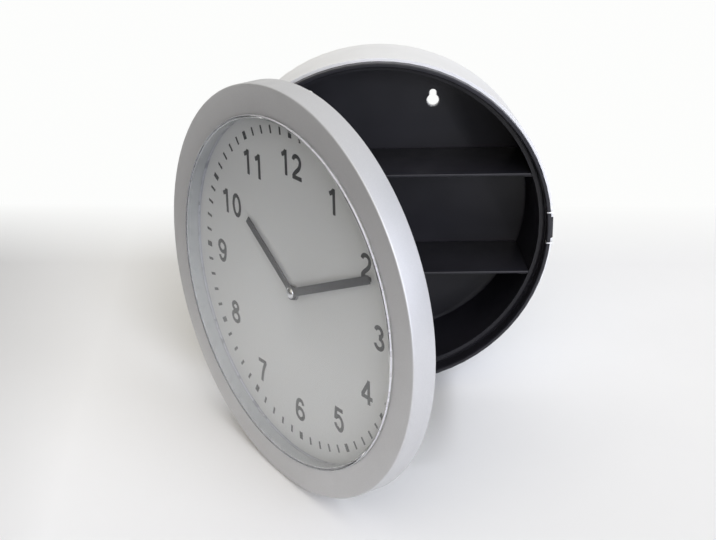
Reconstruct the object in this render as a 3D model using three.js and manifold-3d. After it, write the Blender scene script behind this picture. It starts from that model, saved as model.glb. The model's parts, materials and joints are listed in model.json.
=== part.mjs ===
// Wall clock with a safe behind it: a round clock door hinged to a round box with two shelves.
// Millimetres. X to the right as seen from the front, Y towards the wall, Z up.
// The origin is the centre of the flat back face, and the door stands open at rest.

import * as THREE from 'three';
import { mergeVertices } from 'three/addons/utils/BufferGeometryUtils.js';
import Module from 'manifold-3d';

const wasm = await Module();
wasm.setup();

const DEG = Math.PI / 180;

// Box: a silver shell around a black liner that stands out of it as the rim
const BOX_DEPTH = 66;
const RIM_R = 110.5;
const RIM_LENGTH = 5.5;
const RIM_WALL = 2.6;
const RIM_ROUND = 0.6;
const SHELL_STEP = 1.8;
const SHELL_FRONT_R = RIM_R + SHELL_STEP;
const SHELL_TAPER = 6;
const SHELL_BACK_R = SHELL_FRONT_R - SHELL_TAPER;
const SHELL_WALL = 1.9;
const SHELL_ROUND = 3;
const LINER_WALL = 1.8;
const LEDGE_DEPTH = 10.4;
const LEDGE_WIDTH = 6.9;
const LEDGE_R = RIM_R - LEDGE_WIDTH;
const FLOOR_INSET = 6.3;
const FLOOR_R = SHELL_BACK_R - FLOOR_INSET;
const FLOOR_ROUND = 2.5;
const BEAD_INSET = 3.9;
const BEAD_R = RIM_R - BEAD_INSET;
const BEAD_WIDTH = 1.4;
const BEAD_HEIGHT = 0.8;

// Shelves, on supports that the liner's wall carries
const SHELF_PITCH = 68;
const SHELF_THICKNESS = 1.8;
const SHELF_SETBACK = 8.3;
const SHELF_EDGE_ROUND = 0.5;
const SUPPORT_THICKNESS = 1.6;
const SUPPORT_WIDTH = 5;
const SUPPORT_BACK_INSET = 4;

// Keyholes that hang the box on two screws
const RIGHT_KEYHOLE_X = 36;
const LEFT_KEYHOLE_X = -46;
const KEYHOLE_HEAD_Z = 67.7;
const KEYHOLE_HEAD_R = 3.9;
const KEYHOLE_SLOT_WIDTH = 4.4;
const KEYHOLE_RISE = 5.2;
const KEYHOLE_LINER_MARGIN = 0.5;

// Sprung tab in the rim, opposite the hinge
const TAB_WIDTH = 19.5;
const TAB_NOTCH = 1.5;
const TAB_LENGTH = 8.7;
const BARB_HEIGHT = 1.2;
const BARB_WIDTH = 14;
const BARB_SETBACK = 0.8;
const BARB_LENGTH = 1.7;
const BARB_RAMP = 1.4;

// Door: a silver bezel, the dial and a black back, with a clear lens that stands proud of the bezel
const DOOR_OVERHANG = 14.5;
const DOOR_R = RIM_R + DOOR_OVERHANG;
const DOOR_DEPTH = 15.4;
const DOOR_EDGE_ROUND = 1;
const SKIRT_WALL = 2.4;
const FACE_WALL = 2.2;
const BEZEL_WIDTH = 17.4;
const BORE_R = DOOR_R - BEZEL_WIDTH;
const BORE_ROUND = 0.4;
const BORE_WALL = 2.2;
const LENS_RISE = 1.9;
const LENS_THICKNESS = 1.8;
const LENS_EDGE_ROUND = 1.2;
const LENS_SKIRT = 1.3;
const LENS_FILLET = 0.8;
const LENS_FLANGE = 1;
const LENS_FLANGE_HEIGHT = 1.2;
const DIAL_DEPTH = 10.3;
const DIAL_THICKNESS = 0.7;
const BACK_THICKNESS = 1.6;
const RIM_GAP = 0.9;
const OPEN_ANGLE = 53;

// Hinge at nine o'clock, its pin inside the door's skirt
const HINGE_REACH = 6.3;
const HINGE_OFFSET = RIM_R + HINGE_REACH;
const HINGE_SETBACK = 0.2;
const HINGE_ARM_ROOT = 0.7;
const KNUCKLE_R = 3.2;
const KNUCKLE_LENGTH = 10;
const KNUCKLE_SPAN = 48;
const HINGE_ARM_THICKNESS = 3;
const PIN_R = 1.2;
const PIN_HEAD_R = 2.2;
const PIN_HEAD_HEIGHT = 1;

// Catch on the door that hooks behind the tab's barb
const CATCH_WIDTH = 16;
const CATCH_WALL = 2.2;
const CATCH_FOOT = 4.6;
const CATCH_FOOT_THICKNESS = 1.2;
const CATCH_LIP_THICKNESS = 1.5;
const CATCH_BITE = 0.7;

// Screws that hold the door's back to the bezel
const SCREW_COUNT = 6;
const SCREW_CIRCLE_R = (BORE_R + BORE_WALL + DOOR_R - SKIRT_WALL) / 2;
const SCREW_R = 1.3;
const SCREW_HEAD_R = 2.6;
const SCREW_HEAD_HEIGHT = 1.4;
const SCREW_LENGTH = 8;
const BOSS_R = 3.2;

// Hands, at eleven minutes past ten
const HOUR = 10;
const MINUTE = 11;
const MINUTE_HAND_LENGTH = 86;
const MINUTE_HAND_HUB_R = 4.2;
const HOUR_HAND_LENGTH = 56;
const HOUR_HAND_HUB_R = 4.7;
const HAND_WIDTH = 5;
const HAND_THICKNESS = 0.5;
const HAND_GAP = 0.6;
const CAP_R = 3.6;
const CAP_HEIGHT = 2.2;
const CAP_SIDE = 0.5;

// Movement: a square case behind the dial, fixed by a threaded neck and a nut
const CASE_WALL = 1.2;
const NECK_R = 3.5;
const NUT_FLATS = 9;
const NUT_HEIGHT = 1.1;
const WASHER_R = 8;
const WASHER_THICKNESS = 0.8;
const CANNON_R = 1.6;
const PIPE_R = 2.5;
const ARBOR_R = 0.5;
const ARBOR_PLAY = 0.3;
const KNOB_R = 4.6;
const KNOB_HEIGHT = 3;
const KNOB_STEM_R = 1.5;

// Battery, size AA, with its two contacts
const BATTERY_R = 7.15;
const BATTERY_LENGTH = 49;
const BATTERY_NUB_R = 2.7;
const BATTERY_NUB_HEIGHT = 1.2;
const BATTERY_EDGE = 0.6;
const BATTERY_PLAY = 0.5;
const CONTACT_WIDTH = 9;
const CONTACT_THICKNESS = 0.4;
const CONTACT_ROOM = 1.7;

// The movement case is as wide and deep as its battery needs
const CASE_WIDTH = BATTERY_LENGTH + BATTERY_NUB_HEIGHT + 2 * (CONTACT_ROOM + CASE_WALL);
const CASE_DEPTH = CASE_WALL + 2 * BATTERY_R + BATTERY_PLAY;

// Tooth heights above and below the pitch circle, in modules
const TOOTH_ADDENDUM = 0.5;
const TOOTH_DEDENDUM = 0.75;

// Motion work and going train. Each pair has its module and the direction of the follower's arbor.
const CANNON_TEETH = 12;
const MOTION_TEETH = 36;
const MOTION_PINION_TEETH = 10;
const HOUR_TEETH = 40;
const MOTION_MODULE = 0.4;
const MOTION_DIRECTION = 0;
const KNOB_TEETH = 12;
const KNOB_DIRECTION = -30 * DEG;
const CENTRE_TEETH = 48;
const THIRD_PINION_TEETH = 6;
const CENTRE_MODULE = 0.4;
const THIRD_DIRECTION = 160 * DEG;
const THIRD_TEETH = 45;
const SECONDS_PINION_TEETH = 6;
const THIRD_MODULE = 0.33;
const SECONDS_DIRECTION = 60 * DEG;
const SECONDS_TEETH = 36;
const INTERMEDIATE_PINION_TEETH = 6;
const SECONDS_MODULE = 0.36;
const INTERMEDIATE_DIRECTION = 20 * DEG;
const INTERMEDIATE_TEETH = 30;
const ROTOR_PINION_TEETH = 6;
const INTERMEDIATE_MODULE = 0.33;
const ROTOR_DIRECTION = 0;
const ROTOR_R = 2.6;
const ROTOR_HEIGHT = 1.6;
const STATOR_GAP = 0.6;
const STATOR_THICKNESS = 0.8;
const STATOR_WALL = 1.6;
const STATOR_POLE_WALL = 1;
const COIL_R = 2.1;
const COIL_LENGTH = 15;
const COIL_X = 21;
const COIL_Z = 15.5;
const BOARD_THICKNESS = 0.8;
const BOARD_WIDTH = 13;
const BOARD_HEIGHT = 19;

// Gear layers, one behind another inside the movement
const LAYER_PITCH = 1.65;
const GEAR_WIDTH = 0.9;

// Clearances: between seated pieces, and around what turns
const SEAT_GAP = 0.3;
const RUNNING_GAP = 0.1;

// How far a cut runs past what it cuts
const THROUGH = 1;

// Facets round a large, a small and a tiny circle
const LARGE_FACETS = 72;
const SMALL_FACETS = 24;
const TINY_FACETS = 12;

// Planes across the box, by their Y
const BACK_Y = 0;
const RIM_Y = BACK_Y - BOX_DEPTH;
const SHELL_FRONT_Y = RIM_Y + RIM_LENGTH;
const SHELL_FLOOR_Y = BACK_Y - SHELL_WALL;
const LINER_BACK_Y = SHELL_FLOOR_Y - SEAT_GAP;
const FLOOR_Y = LINER_BACK_Y - LINER_WALL;
const LEDGE_Y = RIM_Y + LEDGE_DEPTH;

// Planes across the closed door, by their depth behind its front edge
const BACK_FRONT = DIAL_DEPTH + DIAL_THICKNESS + SEAT_GAP;
const BACK_REAR = BACK_FRONT + BACK_THICKNESS;
const FRONT_Y = RIM_Y - RIM_GAP - BACK_REAR;
const CASE_FRONT = BACK_REAR + SEAT_GAP + WASHER_THICKNESS + SEAT_GAP;
const CASE_REAR = CASE_FRONT + CASE_DEPTH;
const HINGE_Y = RIM_Y + HINGE_SETBACK;

// The lens in its seat: its flange lies between a shoulder of the bezel and the dial
const LENS_R = BORE_R - SEAT_GAP;
const FLANGE_R = LENS_R + LENS_FLANGE;
const LENS_END = DIAL_DEPTH - SEAT_GAP;
const FLANGE_FRONT = LENS_END - LENS_FLANGE_HEIGHT;

// Solids from closed meshes, and back again
function toSolid(geometry) {
  const bare = geometry.clone();
  bare.deleteAttribute('normal');
  bare.deleteAttribute('uv');
  const merged = mergeVertices(bare, 1e-5);
  const mesh = new wasm.Mesh({
    numProp: 3,
    vertProperties: new Float32Array(merged.attributes.position.array),
    triVerts: new Uint32Array(merged.index.array),
  });
  return new wasm.Manifold(mesh);
}

function toGeometry(solid) {
  const mesh = solid.getMesh();
  const geometry = new THREE.BufferGeometry();
  geometry.setAttribute('position', new THREE.BufferAttribute(mesh.vertProperties, 3));
  geometry.setIndex(new THREE.BufferAttribute(mesh.triVerts, 1));
  geometry.computeVertexNormals();
  return geometry;
}

// Turns a profile of [radius, y] points round the Y axis
function turned(profile, facets = LARGE_FACETS) {
  const points = profile.map(([radius, y]) => new THREE.Vector2(radius, y));
  const onAxis = points[0].x === 0;
  if (!onAxis) points.push(points[0].clone());
  const area = points.reduce((sum, p, i) => {
    const q = points[(i + 1) % points.length];
    return sum + p.x * q.y - q.x * p.y;
  }, 0);
  if (area < 0) points.reverse();
  return toSolid(new THREE.LatheGeometry(points, facets));
}

function extruded(shape, depth, curveSegments = SMALL_FACETS) {
  return new THREE.ExtrudeGeometry(shape, { depth, bevelEnabled: false, curveSegments });
}

// A shape drawn in X and Z, given its thickness along Y from the front plane to the rear plane
function plate(shape, frontY, rearY, curveSegments = SMALL_FACETS) {
  const geometry = extruded(shape, rearY - frontY, curveSegments);
  geometry.rotateX(Math.PI / 2);
  geometry.translate(0, rearY, 0);
  return toSolid(geometry);
}

// A shape drawn in X and Y, given its height along Z
function bar(shape, z0, z1) {
  const geometry = extruded(shape, z1 - z0);
  geometry.translate(0, 0, z0);
  return toSolid(geometry);
}

function block([x0, x1], [y0, y1], [z0, z1]) {
  const geometry = new THREE.BoxGeometry(x1 - x0, y1 - y0, z1 - z0);
  geometry.translate((x0 + x1) / 2, (y0 + y1) / 2, (z0 + z1) / 2);
  return toSolid(geometry);
}

function cylinderAlongY(radius, y0, y1, x = 0, z = 0, facets = SMALL_FACETS) {
  const geometry = new THREE.CylinderGeometry(radius, radius, y1 - y0, facets);
  geometry.translate(x, (y0 + y1) / 2, z);
  return toSolid(geometry);
}

function cylinderAlongZ(radius, z0, z1, x, y, facets = SMALL_FACETS) {
  const geometry = new THREE.CylinderGeometry(radius, radius, z1 - z0, facets);
  geometry.rotateX(Math.PI / 2);
  geometry.translate(x, y, (z0 + z1) / 2);
  return toSolid(geometry);
}

// Points of an arc in a profile, from one angle to another in degrees
function arc(centreR, centreY, radius, from, to, steps = 4) {
  return Array.from({ length: steps + 1 }, (_, i) => {
    const angle = (from + (to - from) * i / steps) * DEG;
    return [centreR + radius * Math.cos(angle), centreY + radius * Math.sin(angle)];
  });
}

function closedShape(points) {
  return new THREE.Shape(points.map(([x, z]) => new THREE.Vector2(x, z)));
}

function rectangle(x0, x1, z0, z1) {
  return closedShape([[x0, z0], [x1, z0], [x1, z1], [x0, z1]]);
}

// Case pieces
function shellOuterR(y) {
  return THREE.MathUtils.mapLinear(y, SHELL_FRONT_Y, BACK_Y, SHELL_FRONT_R, SHELL_BACK_R);
}

function shellInnerR(y) {
  return shellOuterR(y) - SHELL_WALL;
}

function linerInnerR(y) {
  return THREE.MathUtils.mapLinear(y, LEDGE_Y, FLOOR_Y, LEDGE_R, FLOOR_R);
}

function keyholes(margin) {
  const headR = KEYHOLE_HEAD_R + margin;
  const slotR = KEYHOLE_SLOT_WIDTH / 2 + margin;
  const neckZ = Math.sqrt(headR ** 2 - slotR ** 2);
  const neckAngle = Math.atan2(neckZ, slotR);
  const shape = new THREE.Shape();
  shape.absarc(0, 0, headR, Math.PI - neckAngle, 2 * Math.PI + neckAngle, false);
  shape.absarc(0, KEYHOLE_RISE, slotR, 0, Math.PI, false);
  const cut = plate(shape, FLOOR_Y - THROUGH, BACK_Y + THROUGH, TINY_FACETS);
  const left = cut.translate([LEFT_KEYHOLE_X, 0, KEYHOLE_HEAD_Z]);
  return left.add(cut.translate([RIGHT_KEYHOLE_X, 0, KEYHOLE_HEAD_Z]));
}

function caseShell() {
  const r = SHELL_ROUND;
  const outer = [[0, BACK_Y], ...arc(SHELL_BACK_R - r, BACK_Y - r, r, 90, 0), [SHELL_FRONT_R, SHELL_FRONT_Y]];
  const inner = [
    [shellInnerR(SHELL_FRONT_Y), SHELL_FRONT_Y],
    [shellInnerR(SHELL_FLOOR_Y), SHELL_FLOOR_Y],
    [0, SHELL_FLOOR_Y],
  ];
  return turned([...outer, ...inner]).subtract(keyholes(0));
}

function linerBlank() {
  const stepY = SHELL_FRONT_Y - SEAT_GAP;
  const ledgeRearY = LEDGE_Y + LINER_WALL;
  const bandR = RIM_R - RIM_WALL;
  const f = FLOOR_ROUND;
  const half = BEAD_WIDTH / 2;
  return turned([
    [0, FLOOR_Y],
    ...arc(FLOOR_R - f, FLOOR_Y - f, f, 90, 0, 2),
    [LEDGE_R, LEDGE_Y],
    [BEAD_R - half, LEDGE_Y],
    [BEAD_R, LEDGE_Y - BEAD_HEIGHT],
    [BEAD_R + half, LEDGE_Y],
    [bandR, LEDGE_Y],
    ...arc(bandR + RIM_ROUND, RIM_Y + RIM_ROUND, RIM_ROUND, 180, 270, 1),
    ...arc(RIM_R - RIM_ROUND, RIM_Y + RIM_ROUND, RIM_ROUND, 270, 360, 1),
    [RIM_R, stepY],
    [shellInnerR(stepY) - SEAT_GAP, stepY],
    [shellInnerR(ledgeRearY) - SEAT_GAP, ledgeRearY],
    [LEDGE_R + LINER_WALL, ledgeRearY],
    [FLOOR_R + LINER_WALL, LINER_BACK_Y],
    [0, LINER_BACK_Y],
  ]);
}

// The part of the rim between the two notches, and the pocket that frees it
function tabBox(gap) {
  const half = TAB_WIDTH / 2 + gap;
  const rearY = RIM_Y + TAB_LENGTH + Math.min(gap, SEAT_GAP);
  return block([LEDGE_R, RIM_R + THROUGH], [RIM_Y - THROUGH, rearY], [-half, half]);
}

function latchTab() {
  const barbFront = RIM_Y + BARB_SETBACK;
  const root = RIM_R - RIM_WALL / 2;
  const barb = closedShape([
    [root, barbFront],
    [RIM_R, barbFront],
    [RIM_R + BARB_HEIGHT, barbFront + BARB_RAMP],
    [RIM_R + BARB_HEIGHT, barbFront + BARB_LENGTH],
    [root, barbFront + BARB_LENGTH],
  ]);
  return linerBlank().intersect(tabBox(0)).add(bar(barb, -BARB_WIDTH / 2, BARB_WIDTH / 2));
}

function hingeBarrel(z0, z1) {
  return cylinderAlongZ(KNUCKLE_R, z0, z1, -HINGE_OFFSET, HINGE_Y);
}

function pinBore() {
  return cylinderAlongZ(PIN_R + RUNNING_GAP, -KNUCKLE_SPAN, KNUCKLE_SPAN, -HINGE_OFFSET, HINGE_Y);
}

function boxKnuckle(side) {
  const outer = side * KNUCKLE_SPAN / 2;
  const inner = side * (KNUCKLE_SPAN / 2 - KNUCKLE_LENGTH);
  const [z0, z1] = [Math.min(inner, outer), Math.max(inner, outer)];
  const armEnd = HINGE_ARM_ROOT - Math.sqrt(RIM_R ** 2 - outer ** 2);
  const arm = block([-HINGE_OFFSET, armEnd], [RIM_Y, RIM_Y + HINGE_ARM_THICKNESS], [z0, z1]);
  return hingeBarrel(z0, z1).add(arm);
}

function shelfSupports() {
  const y0 = LEDGE_Y + LINER_WALL;
  const y1 = FLOOR_Y - SUPPORT_BACK_INSET;
  const supports = [];
  for (const level of [-1, 1]) {
    for (const side of [-1, 1]) {
      const top = level * SHELF_PITCH / 2 - SHELF_THICKNESS / 2 - SEAT_GAP;
      const z = Math.max(Math.abs(top), Math.abs(top - SUPPORT_THICKNESS));
      const inside = (y) => Math.sqrt(linerInnerR(y) ** 2 - z ** 2);
      const outline = [
        [side * (inside(y0) - SUPPORT_WIDTH), y0],
        [side * (inside(y0) + LINER_WALL), y0],
        [side * (inside(y1) + LINER_WALL), y1],
        [side * (inside(y1) - SUPPORT_WIDTH), y1],
      ];
      if (side < 0) outline.reverse();
      supports.push(bar(closedShape(outline), top - SUPPORT_THICKNESS, top));
    }
  }
  return supports.reduce((all, support) => all.add(support));
}

function linerTub() {
  return linerBlank()
    .subtract(tabBox(TAB_NOTCH))
    .subtract(keyholes(KEYHOLE_LINER_MARGIN))
    .add(boxKnuckle(-1))
    .add(boxKnuckle(1))
    .add(shelfSupports())
    .subtract(pinBore());
}

function shelf(level) {
  const z = level * SHELF_PITCH / 2;
  const reach = Math.abs(z) + SHELF_THICKNESS / 2;
  const end = (y) => Math.sqrt(linerInnerR(y) ** 2 - reach ** 2) - SEAT_GAP;
  const frontY = RIM_Y + SHELF_SETBACK;
  const rearY = FLOOR_Y - SEAT_GAP;
  const cornerX = Math.sqrt((FLOOR_R - FLOOR_ROUND) ** 2 - reach ** 2) - SEAT_GAP;
  const r = SHELF_EDGE_ROUND;
  const shape = closedShape([
    [-end(LEDGE_Y) + r, frontY + r],
    [end(LEDGE_Y) - r, frontY + r],
    [end(LEDGE_Y) - r, LEDGE_Y + r],
    [end(FLOOR_Y - FLOOR_ROUND) - r, FLOOR_Y - FLOOR_ROUND - r],
    [cornerX - r, rearY - r],
    [-cornerX + r, rearY - r],
    [-end(FLOOR_Y - FLOOR_ROUND) + r, FLOOR_Y - FLOOR_ROUND - r],
    [-end(LEDGE_Y) + r, LEDGE_Y + r],
  ]);
  const geometry = new THREE.ExtrudeGeometry(shape, {
    depth: SHELF_THICKNESS - 2 * r,
    bevelEnabled: true,
    bevelThickness: r,
    bevelSize: r,
    bevelSegments: 2,
  });
  geometry.translate(0, 0, z - SHELF_THICKNESS / 2 + r);
  return toSolid(geometry);
}

function hingePin() {
  const half = KNUCKLE_SPAN / 2;
  const headZ = half + SEAT_GAP;
  return cylinderAlongZ(PIN_R, -half, headZ, -HINGE_OFFSET, HINGE_Y)
    .add(cylinderAlongZ(PIN_HEAD_R, headZ, headZ + PIN_HEAD_HEIGHT, -HINGE_OFFSET, HINGE_Y));
}

// Door pieces, drawn closed. A profile's depths are measured behind the front edge.
function doorTurned(profile, facets = LARGE_FACETS) {
  return turned(profile.map(([radius, depth]) => [radius, FRONT_Y + depth]), facets);
}

function doorPlate(shape, front, rear, curveSegments = SMALL_FACETS) {
  return plate(shape, FRONT_Y + front, FRONT_Y + rear, curveSegments);
}

function doorCylinder(radius, front, rear, x = 0, z = 0, facets = SMALL_FACETS) {
  return cylinderAlongY(radius, FRONT_Y + front, FRONT_Y + rear, x, z, facets);
}

function screwPlaces() {
  return Array.from({ length: SCREW_COUNT }, (_, i) => {
    const angle = (i + 0.5) * 2 * Math.PI / SCREW_COUNT;
    return [SCREW_CIRCLE_R * Math.cos(angle), SCREW_CIRCLE_R * Math.sin(angle)];
  });
}

function screwHole([x, z], front, rear) {
  return doorCylinder(SCREW_R + RUNNING_GAP, front, rear, x, z, TINY_FACETS);
}

function doorBezel() {
  const wallEnd = BACK_FRONT - SEAT_GAP;
  const skirtInnerR = DOOR_R - SKIRT_WALL;
  const edge = DOOR_EDGE_ROUND;
  const boreOuterR = BORE_R + BORE_WALL;
  const seatR = FLANGE_R + SEAT_GAP;
  const ring = doorTurned([
    ...arc(BORE_R + BORE_ROUND, BORE_ROUND, BORE_ROUND, 180, 270, 1),
    ...arc(DOOR_R - edge, edge, edge, 270, 360, 3),
    [DOOR_R, DOOR_DEPTH - edge],
    [DOOR_R - edge, DOOR_DEPTH],
    [skirtInnerR, DOOR_DEPTH],
    [skirtInnerR, FACE_WALL],
    [boreOuterR, FACE_WALL],
    [boreOuterR, wallEnd],
    [seatR, wallEnd],
    [seatR, FLANGE_FRONT - SEAT_GAP],
    [BORE_R, FLANGE_FRONT - SEAT_GAP],
  ]);
  const bosses = screwPlaces().map(([x, z]) => {
    const hole = screwHole([x, z], BACK_REAR - SCREW_LENGTH, wallEnd + THROUGH);
    return doorCylinder(BOSS_R, FACE_WALL / 2, wallEnd, x, z, TINY_FACETS).subtract(hole);
  });
  return bosses.reduce((all, boss) => all.add(boss), ring);
}

function lens() {
  const edge = LENS_EDGE_ROUND;
  const skirtR = LENS_R - LENS_SKIRT;
  const rear = LENS_THICKNESS - LENS_RISE;
  return doorTurned([
    [0, -LENS_RISE],
    ...arc(LENS_R - edge, edge - LENS_RISE, edge, 270, 360, 3),
    [LENS_R, FLANGE_FRONT],
    [FLANGE_R, FLANGE_FRONT],
    [FLANGE_R, LENS_END],
    [skirtR, LENS_END],
    [skirtR, rear + LENS_FILLET],
    [skirtR - LENS_FILLET, rear],
    [0, rear],
  ]);
}

function neckHoleR() {
  return NECK_R + 2 * SEAT_GAP;
}

function disc(innerR, outerR, front, rear, facets = LARGE_FACETS) {
  return doorTurned([[innerR, front], [outerR, front], [outerR, rear], [innerR, rear]], facets);
}

function dial() {
  return disc(neckHoleR(), FLANGE_R, DIAL_DEPTH, DIAL_DEPTH + DIAL_THICKNESS);
}

function doorBack() {
  const panel = disc(neckHoleR(), DOOR_R - SKIRT_WALL - SEAT_GAP * 2, BACK_FRONT, BACK_REAR);
  const [front, rear] = [BACK_FRONT - THROUGH, BACK_REAR + THROUGH];
  const half = KNUCKLE_SPAN / 2 - KNUCKLE_LENGTH - SEAT_GAP;
  const notchEnd = KNUCKLE_SPAN / 2 + PIN_HEAD_HEIGHT + 3 * SEAT_GAP;
  const notchX = -HINGE_OFFSET + KNUCKLE_R + RIM_GAP;
  const notches = [-1, 1].map((side) => block(
    [-DOOR_R, notchX],
    [FRONT_Y + front, FRONT_Y + rear],
    [Math.min(side * half, side * notchEnd), Math.max(side * half, side * notchEnd)],
  ));
  const holes = screwPlaces().map((place) => screwHole(place, front, rear));
  const cut = [...notches, ...holes].reduce((solid, hole) => solid.subtract(hole), panel);
  return cut.add(hingeBarrel(-half, half)).subtract(pinBore());
}

function doorCatch() {
  const foot = BACK_REAR + SEAT_GAP;
  const lipFront = RIM_Y - FRONT_Y + BARB_SETBACK + BARB_LENGTH + 2 * SEAT_GAP;
  const lipRear = lipFront + CATCH_LIP_THICKNESS;
  const hookX = RIM_R + BARB_HEIGHT + BARB_LENGTH;
  const lipX = RIM_R + BARB_HEIGHT - CATCH_BITE;
  const outline = [
    [hookX, foot],
    [hookX + CATCH_WALL + CATCH_FOOT, foot],
    [hookX + CATCH_WALL + CATCH_FOOT, foot + CATCH_FOOT_THICKNESS],
    [hookX + CATCH_WALL, foot + CATCH_FOOT_THICKNESS],
    [hookX + CATCH_WALL, lipRear],
    [lipX + CATCH_BITE, lipRear],
    [lipX, lipFront + CATCH_BITE],
    [lipX, lipFront],
    [hookX, lipFront],
  ].map(([x, depth]) => [x, FRONT_Y + depth]);
  return bar(closedShape(outline), -CATCH_WIDTH / 2, CATCH_WIDTH / 2);
}

function doorScrew([x, z]) {
  const headFront = BACK_REAR + SEAT_GAP;
  const shank = doorCylinder(SCREW_R, headFront - SCREW_LENGTH, headFront, x, z, TINY_FACETS);
  return doorCylinder(SCREW_HEAD_R, headFront, headFront + SCREW_HEAD_HEIGHT, x, z, TINY_FACETS).add(shank);
}

// Gear outline with pointed teeth. One of them lies at the phase angle.
function gearShape(teeth, module, phase, boreR) {
  const pitchR = teeth * module / 2;
  const tipR = pitchR + TOOTH_ADDENDUM * module;
  const rootR = pitchR - TOOTH_DEDENDUM * module;
  const step = 2 * Math.PI / teeth;
  const points = [];
  for (let i = 0; i < teeth; i += 1) {
    const centre = phase + i * step;
    for (const [radius, angle] of [[tipR, centre], [rootR, centre + step / 2]]) {
      points.push(new THREE.Vector2(radius * Math.cos(angle), radius * Math.sin(angle)));
    }
  }
  const shape = new THREE.Shape(points);
  if (boreR > 0) {
    const bore = new THREE.Path();
    bore.absarc(0, 0, boreR, 0, 2 * Math.PI, true);
    shape.holes.push(bore);
  }
  return shape;
}

// Phase that puts a follower in mesh with a leader that lies in the given direction from it
function meshedPhase(leaderTeeth, leaderPhase, followerTeeth, direction) {
  const leaderTooth = (direction - leaderPhase) * leaderTeeth / (2 * Math.PI);
  return direction + Math.PI - (0.5 - leaderTooth) * 2 * Math.PI / followerTeeth;
}

// Planes inside the movement case
const INSIDE_FRONT = CASE_FRONT + CASE_WALL;
const INSIDE_REAR = CASE_REAR - CASE_WALL - SEAT_GAP;

function layerFront(layer) {
  return INSIDE_FRONT + SEAT_GAP + layer * LAYER_PITCH;
}

function placeFrom([x, z], leaderTeeth, followerTeeth, module, direction) {
  const distance = (leaderTeeth + followerTeeth) * module / 2;
  return [x + distance * Math.cos(direction), z + distance * Math.sin(direction)];
}

const CENTRE_AT = [0, 0];
const MOTION_AT = placeFrom(CENTRE_AT, CANNON_TEETH, MOTION_TEETH, MOTION_MODULE, MOTION_DIRECTION);
const KNOB_AT = placeFrom(MOTION_AT, MOTION_TEETH, KNOB_TEETH, MOTION_MODULE, KNOB_DIRECTION);
const THIRD_AT = placeFrom(CENTRE_AT, CENTRE_TEETH, THIRD_PINION_TEETH, CENTRE_MODULE, THIRD_DIRECTION);
const SECONDS_AT = placeFrom(THIRD_AT, THIRD_TEETH, SECONDS_PINION_TEETH, THIRD_MODULE, SECONDS_DIRECTION);
const INTERMEDIATE_AT = placeFrom(
  SECONDS_AT, SECONDS_TEETH, INTERMEDIATE_PINION_TEETH, SECONDS_MODULE, INTERMEDIATE_DIRECTION,
);
const ROTOR_AT = placeFrom(
  INTERMEDIATE_AT, INTERMEDIATE_TEETH, ROTOR_PINION_TEETH, INTERMEDIATE_MODULE, ROTOR_DIRECTION,
);
const HOUR_MODULE = (CANNON_TEETH + MOTION_TEETH) * MOTION_MODULE / (HOUR_TEETH + MOTION_PINION_TEETH);

function gear(teeth, module, phase, layer, boreR = 0) {
  const front = layerFront(layer);
  return doorPlate(gearShape(teeth, module, phase, boreR), front, front + GEAR_WIDTH, TINY_FACETS);
}

function arbor(radius = ARBOR_R, front = INSIDE_FRONT + ARBOR_PLAY, rear = INSIDE_REAR - ARBOR_PLAY) {
  return doorCylinder(radius, front, rear, 0, 0, TINY_FACETS);
}

// Hands and what they sit on, by depth
const NUT_FRONT = DIAL_DEPTH - SEAT_GAP - NUT_HEIGHT;
const NECK_FRONT = NUT_FRONT - RUNNING_GAP;
const HOUR_HAND_FRONT = NECK_FRONT - SEAT_GAP - HAND_THICKNESS;
const MINUTE_HAND_FRONT = HOUR_HAND_FRONT - HAND_GAP - HAND_THICKNESS;
const CAP_REAR = MINUTE_HAND_FRONT - SEAT_GAP;

function hand(length, hubR, boreR, front) {
  const half = HAND_WIDTH / 2;
  const shoulder = Math.acos(half / hubR);
  const shape = new THREE.Shape();
  shape.moveTo(half, hubR * Math.sin(shoulder));
  shape.lineTo(half, length);
  shape.lineTo(-half, length);
  shape.lineTo(-half, hubR * Math.sin(shoulder));
  shape.absarc(0, 0, hubR, Math.PI - shoulder, 2 * Math.PI + shoulder, false);
  const bore = new THREE.Path();
  bore.absarc(0, 0, boreR, 0, 2 * Math.PI, true);
  shape.holes.push(bore);
  return doorPlate(shape, front, front + HAND_THICKNESS, TINY_FACETS);
}

function minuteHand() {
  return hand(MINUTE_HAND_LENGTH, MINUTE_HAND_HUB_R, CANNON_R + RUNNING_GAP, MINUTE_HAND_FRONT);
}

function hourHand() {
  return hand(HOUR_HAND_LENGTH, HOUR_HAND_HUB_R, PIPE_R + RUNNING_GAP, HOUR_HAND_FRONT);
}

// Cap with a domed front and a short straight side
function handCap() {
  const steps = 4;
  const shoulder = CAP_REAR - CAP_SIDE;
  const dome = Array.from({ length: steps + 1 }, (_, i) => {
    const angle = i / steps * Math.PI / 2;
    return [CAP_R * Math.sin(angle), shoulder - (CAP_HEIGHT - CAP_SIDE) * Math.cos(angle)];
  });
  return doorTurned([...dome, [CAP_R, CAP_REAR], [0, CAP_REAR]], SMALL_FACETS);
}

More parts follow.
